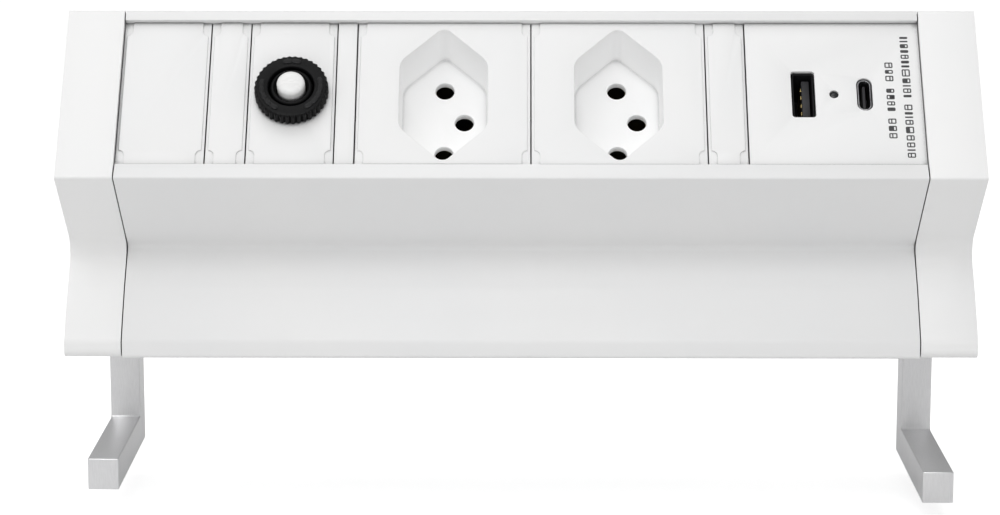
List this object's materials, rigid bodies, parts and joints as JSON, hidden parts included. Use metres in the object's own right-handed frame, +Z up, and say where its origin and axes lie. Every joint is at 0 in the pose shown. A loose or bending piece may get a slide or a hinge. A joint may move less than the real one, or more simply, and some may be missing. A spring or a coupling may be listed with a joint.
{
  "type": "desk power strip",
  "caption": "Clamp-on desk power strip: tilted outlet panel in a white extruded housing with end caps, held to the desk edge by sliding L-shaped aluminium brackets.",
  "frame": {"origin": "desk top plane at the rear edge of the desk, half way along the strip", "axes": "X along the strip, -Y towards the user, +Z up"},
  "size_m": [0.228, 0.0907, 0.1278],
  "materials": {
    "white_coat": "fine satin powder coat",
    "white_plastic": "fine matte moulding",
    "black_plastic": "satin moulding",
    "satin_aluminium": "brushed and clear anodised",
    "zinc_steel": "zinc plated",
    "brass": "bare",
    "circuit_board": "solder mask",
    "rubber": "foam",
    "lens": "polished",
    "line_insulation": "smooth",
    "neutral_insulation": "smooth",
    "earth_insulation": "smooth",
    "copper": "wound"
  },
  "bodies": {
    "housing": {"body_extrusion": "white_coat", "left_end_cap": "white_plastic", "right_end_cap": "white_plastic", "blank_cover": "white_plastic", "narrow_cover_left": "white_plastic", "narrow_cover_right": "white_plastic", "breaker_fascia": "white_plastic", "spacer_cover": "white_plastic", "outlet_1_face": "white_plastic", "outlet_2_face": "white_plastic", "outlet_1_housing": "white_plastic", "outlet_2_housing": "white_plastic", "usb_fascia": "white_plastic", "usb_housing": "white_plastic", "breaker_body": "black_plastic", "breaker_ring_nut": "black_plastic", "usb_a_tongue": "black_plastic", "usb_c_tongue": "black_plastic", "usb_capacitor": "black_plastic", "inlet_housing": "black_plastic", "left_screw_retainer": "zinc_steel", "right_screw_retainer": "zinc_steel", "left_end_cap_screw_1": "zinc_steel", "left_end_cap_screw_2": "zinc_steel", "right_end_cap_screw_1": "zinc_steel", "right_end_cap_screw_2": "zinc_steel", "breaker_spring": "zinc_steel", "usb_a_shell": "zinc_steel", "usb_c_shell": "zinc_steel", "breaker_terminal_a": "brass", "breaker_terminal_b": "brass", "inlet_pin_1": "brass", "inlet_pin_2": "brass", "inlet_pin_3": "brass", "outlet_1_line_contact": "brass", "outlet_1_neutral_contact": "brass", "outlet_1_earth_contact": "brass", "outlet_2_line_contact": "brass", "outlet_2_neutral_contact": "brass", "outlet_2_earth_contact": "brass", "usb_circuit_board": "circuit_board", "front_desk_pad": "rubber", "rear_desk_pad": "rubber", "usb_indicator_lens": "lens", "line_wire_supply": "line_insulation", "line_wire_switched": "line_insulation", "neutral_wire": "neutral_insulation", "earth_wire": "earth_insulation", "usb_transformer": "copper"},
    "left_bracket": {"left_bracket": "satin_aluminium"},
    "right_bracket": {"right_bracket": "satin_aluminium"},
    "left_clamp_screw": {"left_clamp_screw": "zinc_steel"},
    "right_clamp_screw": {"right_clamp_screw": "zinc_steel"},
    "reset_button": {"reset_button": "white_plastic"}
  },
  "joints": [
    {"name": "left_clamp_screw_turn", "type": "hinge", "parent": "housing", "child": "left_clamp_screw", "pos_m": [-0.10825, 0.005, 0.0344], "axis": [0, 0, 1], "range_deg": [-4360.5, 5508]},
    {"name": "left_bracket_slide", "type": "slide", "parent": "housing", "child": "left_bracket", "axis": [0, 0, 1], "range_m": [-0.0095, 0.012]},
    {"name": "right_clamp_screw_turn", "type": "hinge", "parent": "housing", "child": "right_clamp_screw", "pos_m": [0.10825, 0.005, 0.0344], "axis": [0, 0, 1], "range_deg": [-2891.7, 6976.8]},
    {"name": "right_bracket_slide", "type": "slide", "parent": "housing", "child": "right_bracket", "axis": [0, 0, 1], "range_m": [-0.0063, 0.0152]},
    {"name": "reset_button_press", "type": "slide", "parent": "housing", "child": "reset_button", "axis": [0, 0.7611, -0.6487], "range_m": [-0.003, 0.0015], "stiffness_N_per_m": 60}
  ],
  "couplings": [
    {"joint": "left_clamp_screw_turn", "follows": "left_bracket_slide", "rad_per_m": 7854},
    {"joint": "right_clamp_screw_turn", "follows": "right_bracket_slide", "rad_per_m": 7854}
  ]
}
